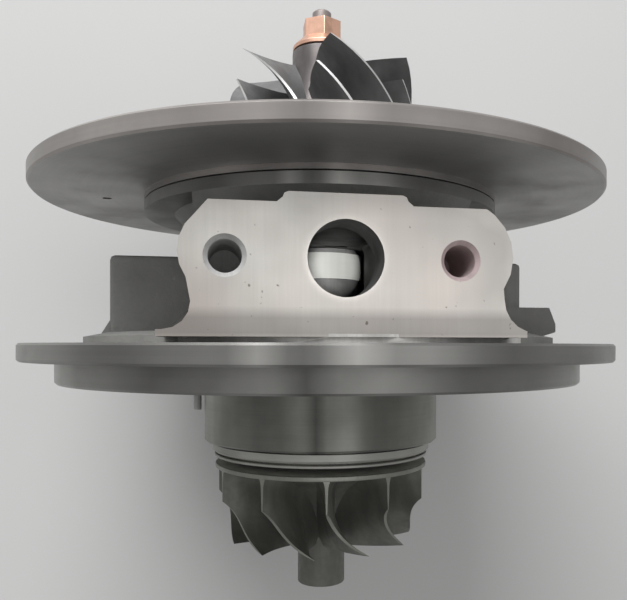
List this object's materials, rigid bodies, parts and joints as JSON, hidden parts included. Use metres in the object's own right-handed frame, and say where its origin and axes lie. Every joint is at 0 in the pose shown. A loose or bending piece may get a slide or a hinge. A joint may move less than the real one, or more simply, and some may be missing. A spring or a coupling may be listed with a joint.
{
  "type": "turbocharger cartridge",
  "caption": "Turbocharger core: cast bearing housing between a turbine flange and a compressor back plate, with a spinning shaft that carries a turbine wheel and a milled compressor wheel.",
  "frame": {"origin": "centre of the bounding box's bottom face, where the flange rim rests", "axes": "+Y along the shaft towards the compressor wheel, +Z out of the oil drain pad, +X to the right seen from the turbine wheel"},
  "size_m": [0.124, 0.127, 0.1237],
  "materials": {
    "cast_iron": "cast grey iron with machined flange, pad and nose faces",
    "plate_steel": "turned plate, warm grey",
    "shield_steel": "pressed sheet, heat darkened",
    "ground_steel": "ground bright steel",
    "milled_aluminium": "milled blades with bright edges",
    "turbine_alloy": "investment cast heat resistant alloy, very dark",
    "bearing_bronze": "leaded bronze",
    "coppered_steel": "coppered steel, semi bright",
    "seal_rubber": "moulded rubber"
  },
  "bodies": {
    "housing": {"bearing_housing": "cast_iron", "locating_pin": "ground_steel", "heat_shield": "shield_steel", "back_plate": "plate_steel", "back_plate_o_ring": "seal_rubber", "housing_o_ring": "seal_rubber", "thrust_bearing": "bearing_bronze", "oil_baffle": "ground_steel", "turbine_piston_ring": "ground_steel", "compressor_piston_ring": "ground_steel", "back_plate_screw_1": "ground_steel", "back_plate_screw_2": "ground_steel", "back_plate_screw_3": "ground_steel", "back_plate_screw_4": "ground_steel", "thrust_bearing_screw_1": "ground_steel", "thrust_bearing_screw_2": "ground_steel", "thrust_bearing_screw_3": "ground_steel", "circlip_1": "ground_steel", "circlip_2": "ground_steel", "circlip_3": "ground_steel", "circlip_4": "ground_steel"},
    "rotor": {"rotor_shaft": "ground_steel", "thrust_collar": "ground_steel", "seal_sleeve": "ground_steel", "compressor_wheel": "milled_aluminium", "turbine_wheel": "turbine_alloy", "compressor_nut": "coppered_steel"},
    "turbine_bush": {"journal_bearing_turbine": "bearing_bronze"},
    "compressor_bush": {"journal_bearing_compressor": "bearing_bronze"}
  },
  "joints": [
    {"name": "rotor_spin", "type": "hinge", "parent": "housing", "child": "rotor", "pos_m": [0, 0, 0.06186], "axis": [0, 1, 0], "continuous": true},
    {"name": "turbine_bush_spin", "type": "hinge", "parent": "housing", "child": "turbine_bush", "pos_m": [0, -0.01153, 0.06186], "axis": [0, 1, 0], "continuous": true},
    {"name": "compressor_bush_spin", "type": "hinge", "parent": "housing", "child": "compressor_bush", "pos_m": [0, 0.00447, 0.06186], "axis": [0, 1, 0], "continuous": true}
  ]
}
